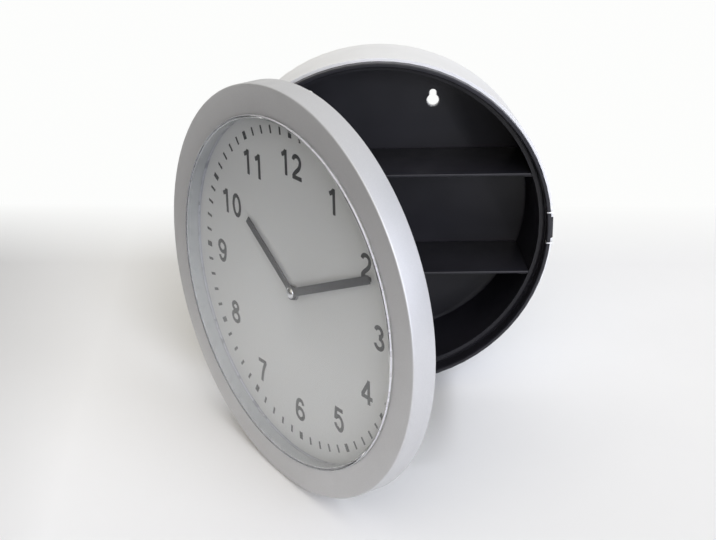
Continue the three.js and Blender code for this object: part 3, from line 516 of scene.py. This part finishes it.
# Brushed metal. The stretch makes its marks fine along one axis and long across it.
def metal(name, color, roughness, stretch=(1, 1, 12)):
    mat = material(name, color, roughness, 1.0)
    brushed = noise(mat, 500, 3, stretch)
    marks = tint(mat, brushed, scaled(color, 0.88), scaled(color, 1.06))
    link(mat, marks, shader_of(mat).inputs["Base Color"])
    bump(mat, brushed, 0.08, 0.00004)
    return detail(mat, color, gloss=Gloss(scale=150, detail=4, low=roughness * 0.8, high=roughness * 1.3))


def plastic(name, color, roughness):
    return detail(
        material(name, color, roughness), color,
        cloud=Cloud(scale=120, detail=4, dark=0.93, light=1.04),
        gloss=Gloss(scale=80, detail=5, low=roughness * 0.9, high=roughness * 1.15),
        grain=Grain(scale=1500, detail=2, strength=0.1, distance=0.00004),
    )


MATERIALS = {
    "silver_paint": silver_paint("silver_paint", (0.535, 0.535, 0.54)),
    "black_plastic": black_plastic(),
    "clear_lens": clear_lens(),
    "dial_grey": dial_grey(),
    "steel": metal("steel", (0.55, 0.55, 0.56), 0.28),
    "brass": metal("brass", (0.62, 0.46, 0.2), 0.3),
    "white_plastic": plastic("white_plastic", (0.75, 0.74, 0.7), 0.4),
    "hand_paint": hand_paint(),
    "cap_chrome": metal("cap_chrome", (0.75, 0.75, 0.77), 0.1, (1, 1, 1)),
    "black_rubber": plastic("black_rubber", (0.015, 0.015, 0.015), 0.8),
    "copper_wire": metal("copper_wire", (0.5, 0.2, 0.08), 0.3, (1, 1, 40)),
    "board": plastic("board", (0.05, 0.16, 0.06), 0.45),
    "battery_jacket": plastic("battery_jacket", (0.09, 0.095, 0.105), 0.32),
    "magnet": metal("magnet", (0.12, 0.12, 0.13), 0.4),
}
INK = dial_ink()
FROSTED_EDGE_HIGHLIGHT = lens_edge()
# The shell's silver is paler than the bezel's: partly a lighter paint, partly painted light for the light
# falling on its top
SHELL_SILVER_PALER_AND_LIT = silver_paint("shell_silver_paler_and_lit", (0.85, 0.85, 0.855))

for name, cad in frame["nodes"].items():
    cad.data.materials.clear()
    cad.data.materials.append(MATERIALS[slot_of_node(name)])


# CAD solids shown with softened edges
def refined(name, width):
    source = frame["nodes"][name]
    bm = bmesh.new()
    bm.from_mesh(source.data)
    bmesh.ops.remove_doubles(bm, verts=bm.verts, dist=WELD)
    bmesh.ops.dissolve_limit(
        bm,
        angle_limit=math.radians(FLAT_ANGLE),
        use_dissolve_boundaries=False,
        verts=bm.verts,
        edges=bm.edges,
    )
    mesh = mesh_from(name + "_fine", bm)
    smooth(mesh, EDGE_ANGLE)
    slot = slot_of_node(name)
    piece = new_piece(name + "_fine", mesh, MATERIALS[slot], body_of_node(name), [name])
    edge = soften(piece, width)
    edge.limit_method = "ANGLE"
    edge.angle_limit = math.radians(EDGE_ANGLE)
    edge.use_clamp_overlap = True
    edge.harden_normals = False
    return piece


# Door bezel: ring with a rounded outer edge, a skirt and a bore with a shoulder for the lens
def bezel():
    skirt_r = DOOR_R - SKIRT_WALL
    bore_r = BORE_R - SEAT_GAP * 0.7
    bore_outer_r = BORE_R + BORE_WALL
    wall_end = DIAL_DEPTH + DIAL_THICKNESS
    seat_r = FLANGE_R + SEAT_GAP
    shoulder = FLANGE_FRONT - SEAT_GAP
    profile = rounded([
        (bore_r, shoulder, FINE_ROUND),
        (bore_r, 0, BORE_ROUND),
        (DOOR_R, 0, BEZEL_FRONT_ROUND),
        (DOOR_R, DOOR_DEPTH, BEZEL_REAR_ROUND),
        (skirt_r, DOOR_DEPTH, COARSE_ROUND),
        (skirt_r, FACE_WALL, 2 * COARSE_ROUND),
        (bore_outer_r, FACE_WALL, 1.5 * COARSE_ROUND),
        (bore_outer_r, wall_end),
        (seat_r, wall_end),
        (seat_r, shoulder, FINE_ROUND),
    ], MEDIUM_ROUND, 5)
    bm = bmesh.new()
    lathe(bm, [(r, FRONT_Y + d) for r, d in profile])
    boss = rounded([
        (BOSS_BORE_R, BOSS_FRONT),
        (BOSS_R, BOSS_FRONT),
        (BOSS_R, wall_end),
        (BOSS_BORE_R, wall_end),
    ], BOSS_ROUND)
    for i in range(SCREW_COUNT):
        angle = (i + 0.5) * 2 * math.pi / SCREW_COUNT
        at = (SCREW_CIRCLE_R * math.cos(angle), SCREW_CIRCLE_R * math.sin(angle))
        lathe(bm, [(r, FRONT_Y + d) for r, d in boss], BOSS_STEPS, at)
    bmesh.ops.transform(bm, matrix=DOOR, verts=bm.verts)
    mesh = mesh_from("bezel_ring", bm)
    smooth(mesh, 40)
    slot = "silver_paint"
    return new_piece("bezel_ring", mesh, MATERIALS[slot], "door", ["door_bezel"])


# The turned edge of the lens and its flange are frosted, and catch the light; their whitish colour is partly
# a painted highlight for the glints there
def lens():
    skirt_r = LENS_R - LENS_SKIRT
    rear = LENS_THICKNESS - LENS_RISE
    profile = rounded([
        (0, -LENS_RISE),
        (LENS_R, -LENS_RISE, LENS_EDGE_ROUND),
        (LENS_R, FLANGE_FRONT, FINE_ROUND),
        (FLANGE_R, FLANGE_FRONT, FINE_ROUND),
        (FLANGE_R, LENS_END, 1.5 * FINE_ROUND),
        (skirt_r, LENS_END, 1.5 * FINE_ROUND),
        (skirt_r, rear, LENS_INNER_ROUND),
        (0, rear),
    ], MEDIUM_ROUND, 6)
    piece = door_lathe("lens_clear", profile, "clear_lens", ["lens"])
    # The edge and flange faces get the whitish frosted colour, partly a painted highlight
    piece.data.materials.append(FROSTED_EDGE_HIGHLIGHT)
    closed = DOOR.inverted()
    for face in piece.data.polygons:
        at = closed @ face.center
        radius, depth = math.hypot(at.x, at.z) / MM, at.y / MM - FRONT_Y
        if (radius > LENS_R - LENS_FROST and depth < 0) or depth > FLANGE_FRONT:
            face.material_index = 1
    return piece


def dial():
    rear = DIAL_DEPTH + DIAL_THICKNESS
    profile = rounded([
        (DIAL_HOLE_R, DIAL_DEPTH),
        (FLANGE_R, DIAL_DEPTH),
        (FLANGE_R, rear),
        (DIAL_HOLE_R, rear),
    ], DIAL_ROUND, 2)
    return door_lathe("dial_face", profile, "dial_grey", ["dial"])


# Numerals, drawn with strokes of one width in a box of NUMERAL_WIDTH by NUMERAL_HEIGHT
def curve(cx, cy, rx, ry, start, end, steps=28):
    return [
        (
            cx + rx * math.cos(math.radians(start + (end - start) * i / steps)),
            cy + ry * math.sin(math.radians(start + (end - start) * i / steps)),
        )
        for i in range(steps + 1)
    ]


def bend(a, b, c, steps=14):
    points = []
    for i in range(steps + 1):
        t = i / steps
        points.append(tuple(
            (1 - t) ** 2 * a[k] + 2 * t * (1 - t) * b[k] + t * t * c[k] for k in range(2)
        ))
    return points


def digit_strokes(digit):
    h, w, s = NUMERAL_HEIGHT, NUMERAL_WIDTH, STROKE / 2
    top, low, left, right = h - s, s, s + 0.25, w - s - 0.25
    mid = w / 2
    six = [
        curve(mid, h * 0.315, mid - left, h * 0.315 - low, 0, 360, 40),
        bend((left, h * 0.33), (left + 0.15, top), (mid + 0.55, top)) + bend(
            (mid + 0.55, top), (right - 0.9, top), (right - 0.35, h * 0.735)
        )[1:],
    ]
    return {
        "0": [curve(mid, h / 2, mid - left - 0.1, h / 2 - s, 0, 360, 48)],
        "1": [
            [(mid + 1.0, 0), (mid + 1.0, h)],
            bend((mid + 0.9, top + 0.4), (mid - 0.6, h * 0.82), (left + 0.5, h * 0.755)),
        ],
        "2": [
            curve(mid, h * 0.715, mid - left - 0.2, h * 0.285 - s, 172, 0)
            + bend((right - 0.2, h * 0.715), (right - 0.3, h * 0.5), (mid - 0.3, h * 0.34))[1:]
            + bend((mid - 0.3, h * 0.34), (left + 0.7, h * 0.2), (left, low + 0.1))[1:],
            [(left - s * 0.75, low), (right + s * 0.8, low)],
        ],
        "3": [
            curve(mid - 0.1, h * 0.735, mid - left - 0.7, h * 0.265 - s, 168, -90),
            curve(mid - 0.1, h * 0.29, mid - left - 0.05, h * 0.25 - s * 0.45, 90, -168),
        ],
        "4": [
            [(mid + 2.2, 0), (mid + 2.2, h)],
            [(left - s * 0.9, h * 0.285), (w + 0.5, h * 0.285)],
            [(mid + 2.5, top + 0.4), (left - 0.4, h * 0.285 + 0.2)],
        ],
        "5": [
            [(left + 1.2, top), (right + 0.45, top)],
            [(left + 1.55, h), (left + 0.25, h * 0.45)],
            bend((left + 0.45, h * 0.5), (mid - 0.9, h * 0.64), (mid + 0.4, h * 0.63), 8)
            + curve(mid, h * 0.33, mid - left, h * 0.3, 78, -90)[1:]
            + curve(mid, h * 0.33, mid - left, h * 0.33 - s, 270, 192, 12)[1:],
        ],
        "6": six,
        "7": [
            [(left - s * 0.5, top), (right + s * 0.55, top)],
            bend((right + 0.15, top), (mid - 0.2, h * 0.52), (mid - 1.2, 0)),
        ],
        "8": [
            curve(mid, h * 0.75, mid - left - 0.75, h * 0.25 - s, 0, 360, 40),
            curve(mid, h * 0.29, mid - left, h * 0.29 - s * 0.95, 0, 360, 40),
        ],
        "9": [[(w - x, h - y) for x, y in stroke] for stroke in six],
    }[digit]


def ribbon(bm, points, width, depth):
    """Adds a flat strip along a line of (x, z) points on the closed dial."""
    path = [Vector(p) for p in points]
    closed = (path[0] - path[-1]).length < 1e-6
    if closed:
        path.pop()
    count = len(path)
    left, right = [], []
    for i, p in enumerate(path):
        before = path[i - 1] if closed or i > 0 else p
        after = path[(i + 1) % count] if closed or i < count - 1 else p
        along = (after - before).normalized()
        side = Vector((-along.y, along.x)) * width / 2
        for store, q in ((left, p + side), (right, p - side)):
            store.append(bm.verts.new((q.x * MM, (FRONT_Y + depth) * MM, q.y * MM)))
    for i in range(count if closed else count - 1):
        j = (i + 1) % count
        bm.faces.new((left[i], left[j], right[j], right[i]))


def numerals():
    bm = bmesh.new()
    layer = 0
    for hour in range(1, 13):
        angle = math.radians(30 * hour)
        nudge = NUMERAL_NUDGE.get(hour, (0, 0))
        centre = (
            PRINT_SHIFT[0] + NUMERAL_REACH_X * math.sin(angle) + nudge[0],
            PRINT_SHIFT[1] + NUMERAL_REACH_Z * math.cos(angle) + nudge[1],
        )
        digits = str(hour)
        width = NUMERAL_WIDTH + NUMERAL_PITCH * (len(digits) - 1)
        for place, digit in enumerate(digits):
            x0 = centre[0] - width / 2 + place * NUMERAL_PITCH
            z0 = centre[1] - NUMERAL_HEIGHT / 2
            for stroke in digit_strokes(digit):
                layer = (layer + 1) % INK_LAYERS
                depth = DIAL_DEPTH - INK_THICKNESS * (1 + INK_LAYER_STEP * layer)
                ribbon(bm, [(x0 + x, z0 + z) for x, z in stroke], STROKE, depth)
    bmesh.ops.transform(bm, matrix=DOOR, verts=bm.verts)
    mesh = mesh_from("dial_numerals", bm)
    return new_piece("dial_numerals", mesh, INK, "door")


def minute_marks():
    bm = bmesh.new()
    for minute in range(60):
        angle = math.radians(6 * minute)
        ends = [
            (PRINT_SHIFT[0] + r * math.sin(angle), PRINT_SHIFT[1] + r * math.cos(angle))
            for r in (TICK_INNER_R, TICK_OUTER_R)
        ]
        width = HOUR_TICK_WIDTH if minute % 5 == 0 else MINUTE_TICK_WIDTH
        ribbon(bm, ends, width, DIAL_DEPTH - INK_THICKNESS)
    bmesh.ops.transform(bm, matrix=DOOR, verts=bm.verts)
    mesh = mesh_from("dial_minute_marks", bm)
    return new_piece("dial_minute_marks", mesh, INK, "door")


def cap():
    """Domed bright cap over the middle of the hands."""
    low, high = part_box("hand_cap")
    to_closed = DOOR.inverted()
    depths = [
        (to_closed @ Vector((x, y, z))).y
        for x in (low.x, high.x)
        for y in (low.y, high.y)
        for z in (low.z, high.z)
    ]
    front = sum(depths) / len(depths) / MM - CAP_DEPTH / 2
    bm = bmesh.new()
    lathe(bm, [(r, front + d) for r, d in CAP_CURVE], SMALL_STEPS)
    bmesh.ops.transform(bm, matrix=DOOR, verts=bm.verts)
    mesh = mesh_from("cap_dome", bm)
    smooth(mesh, 45)
    slot = "cap_chrome"
    return new_piece("cap_dome", mesh, MATERIALS[slot], "minute", ["hand_cap"])


# Ends of the shell that show as two light nicks beside the latch tab, in the paler shell silver, which is
# partly painted light
def shell_lugs():
    bm = bmesh.new()
    front, rear = (RIM_Y + SEAT_GAP) * MM, (RIM_Y + RIM_LENGTH) * MM
    for level in (-LUG_LEVEL, LUG_LEVEL):
        outline = [
            (LUG_FROM_R, level - LUG_HEIGHT * 0.2),
            (LUG_TO_R, level - LUG_HEIGHT / 2),
            (LUG_TO_R, level + LUG_HEIGHT / 2),
            (LUG_FROM_R, level + LUG_HEIGHT * 0.2),
        ]
        near = [bm.verts.new((x * MM, front, z * MM)) for x, z in outline]
        far = [bm.verts.new((x * MM, rear, z * MM)) for x, z in outline]
        bm.faces.new(near)
        bm.faces.new(far[::-1])
        for i in range(4):
            j = (i + 1) % 4
            bm.faces.new((near[j], near[i], far[i], far[j]))
    mesh = mesh_from("shell_lugs", bm)
    smooth(mesh, 30)
    piece = new_piece("shell_lugs", mesh, SHELL_SILVER_PALER_AND_LIT, body_of_node("case_shell"))
    soften(piece, LUG_EDGE)
    return piece


bezel()
lens()
dial()
numerals()
minute_marks()
cap()
shell_lugs()
for name, width in EDGE_WIDTHS.items():
    refined(name, width)
# The shell gets the paler silver, which is partly painted light
bpy.data.objects["case_shell_fine"].data.materials[0] = SHELL_SILVER_PALER_AND_LIT


def ease(value, start, end):
    t = min(max((value - start) / (end - start), 0), 1)
    return t * t * (3 - 2 * t)


# Floor, level with the surface that the object stands on, and turning level behind it. A shallow
# hollow, hidden behind the open door, leaves room for the closed door, which reaches lower there.
def floor_height(x, y):
    nx, ny, nz = FLOOR_NORMAL
    px, py, pz = FLOOR_POINT
    if y > FLOOR_BEND_Y:
        over = y - FLOOR_BEND_Y
        y = FLOOR_BEND_Y + FLOOR_BEND_LENGTH * (1 - math.exp(-over / FLOOR_BEND_LENGTH))
    height = pz - (nx * (x - px) + ny * (y - py)) / nz
    share = (1 - ease(abs(x), *HOLLOW_SIDE)) * (1 - ease(y, *HOLLOW_REAR))
    return height - share * max(height - HOLLOW_LEVEL, 0)


def floor_steps(low, high, fine_low, fine_high):
    """Places along one side of the floor, close together near the object."""
    steps = [low]
    while steps[-1] < high:
        fine = fine_low <= steps[-1] < fine_high
        steps.append(steps[-1] + (FLOOR_FINE_STEP if fine else FLOOR_STEP))
    return steps


def floor():
    xs = floor_steps(*FLOOR_X, *FLOOR_FINE_X)
    ys = floor_steps(*FLOOR_Y, *FLOOR_FINE_Y)
    bm = bmesh.new()
    grid = [[bm.verts.new((x * MM, y * MM, floor_height(x, y) * MM)) for x in xs] for y in ys]
    for j in range(len(ys) - 1):
        for i in range(len(xs) - 1):
            bm.faces.new((grid[j][i], grid[j][i + 1], grid[j + 1][i + 1], grid[j + 1][i]))
    mesh = mesh_from("floor", bm)
    mesh.shade_smooth()
    obj = bpy.data.objects.new("floor", mesh)
    bpy.context.scene.collection.objects.link(obj)
    obj.data.materials.append(floor_material())
    return obj


# The camera, gloss and clear plastic see the floor white behind the object and far from it
def floor_material():
    mat = material("floor_paper", FLOOR_COLOR, 0.9, **{"Specular IOR Level": 0.1})
    shader = shader_of(mat)
    paper = clouded(mat, FLOOR_COLOR, Cloud(scale=6, detail=4, dark=0.985, light=1.015))
    place = node(mat, "ShaderNodeTexCoord").outputs["Object"]
    parts = node(mat, "ShaderNodeSeparateXYZ")
    link(mat, place, parts.inputs["Vector"])
    # Painted shade: the floor's colour is darkened towards the left, so that it sends less light back onto
    # the object
    painted_shade_left = spread(mat, parts.outputs["X"], FLOOR_PAINTED_SHADE_SHARE, 1, *FLOOR_PAINTED_SHADE_X)
    link(mat, mixed_colors(mat, "MULTIPLY", 1, paper, painted_shade_left), shader.inputs["Base Color"])
    far = node(mat, "ShaderNodeVectorMath", operation="LENGTH")
    link(mat, place, far.inputs[0])
    behind = spread(mat, parts.outputs["Y"], 0, 1, *FLOOR_WHITE_Y)
    away = spread(mat, far.outputs["Value"], 0, 1, *FLOOR_WHITE_REACH)
    path = node(mat, "ShaderNodeLightPath")
    seen = joined(mat, "MAXIMUM", path.outputs["Is Camera Ray"], mirrored_ray(mat, path))
    share = joined(mat, "MULTIPLY", joined(mat, "MAXIMUM", behind, away), seen)
    glow = node(mat, "ShaderNodeEmission", Color=(*FLOOR_WHITE, 1))
    mix = mixed_shaders(mat, share, shader.outputs["BSDF"], glow.outputs["Emission"])
    link(mat, mix, mat.node_tree.nodes["Material Output"].inputs["Surface"])
    return mat


def mirrored_ray(owner, path):
    return joined(owner, "MAXIMUM", path.outputs["Is Glossy Ray"], path.outputs["Is Transmission Ray"])


# The camera sees a white background all round, gloss and clear plastic see it behind the object
def seen_share(world, place):
    path = node(world, "ShaderNodeLightPath")
    parts = node(world, "ShaderNodeSeparateXYZ")
    link(world, place, parts.inputs["Vector"])
    behind = spread(world, parts.outputs["Y"], 0, 1, SEEN_FROM, SEEN_FULL, "SMOOTHSTEP")
    share = joined(world, "MULTIPLY", mirrored_ray(world, path), behind)
    return joined(world, "MAXIMUM", path.outputs["Is Camera Ray"], share)


def surroundings():
    world = bpy.data.worlds.new("studio")
    bpy.context.scene.world = world
    world.use_nodes = True
    place = node(world, "ShaderNodeTexCoord").outputs["Generated"]
    total = None
    for toward, start, color, strength in LOBES:
        lean = node(world, "ShaderNodeVectorMath", operation="DOT_PRODUCT")
        lean.inputs[1].default_value = Vector(toward).normalized()
        link(world, place, lean.inputs[0])
        level = spread(world, lean.outputs["Value"], 0, strength, start, 1, "SMOOTHSTEP")
        lobe = node(world, "ShaderNodeVectorMath", operation="SCALE")
        lobe.inputs[0].default_value = color
        link(world, level, lobe.inputs["Scale"])
        both = node(world, "ShaderNodeVectorMath")
        if total is None:
            both.inputs[0].default_value = (DIM, DIM, DIM)
        else:
            link(world, total, both.inputs[0])
        link(world, lobe.outputs["Vector"], both.inputs[1])
        total = both.outputs["Vector"]
    background = world.node_tree.nodes["Background"]
    link(world, total, background.inputs["Color"])
    background.inputs["Strength"].default_value = 1.0
    seen = node(world, "ShaderNodeBackground", Color=(*SEEN_WHITE, 1), Strength=1.0)
    mix = mixed_shaders(
        world, seen_share(world, place), background.outputs["Background"], seen.outputs["Background"]
    )
    link(world, mix, world.node_tree.nodes["World Output"].inputs["Surface"])


def camera():
    yaw, pitch, roll = CAMERA_YAW, CAMERA_PITCH, CAMERA_ROLL
    level = math.cos(pitch)
    ahead = Vector((math.sin(yaw) * level, math.cos(yaw) * level, -math.sin(pitch)))
    side = Vector((math.cos(yaw), -math.sin(yaw), 0))
    above = side.cross(ahead)
    right = side * math.cos(roll) + above * math.sin(roll)
    up = above * math.cos(roll) - side * math.sin(roll)
    data = bpy.data.cameras.new("photo_camera")
    data.sensor_fit = "HORIZONTAL"
    data.sensor_width = 36
    data.lens = CAMERA_LENS
    data.shift_x, data.shift_y = CAMERA_SHIFT
    obj = bpy.data.objects.new("photo_camera", data)
    bpy.context.scene.collection.objects.link(obj)
    turn = Matrix((right, up, -ahead)).transposed().to_4x4()
    obj.matrix_world = Matrix.Translation(Vector(CAMERA_AT) * MM) @ turn
    bpy.context.scene.camera = obj


floor()
surroundings()
camera()
bpy.context.scene.view_settings.view_transform = "Standard"
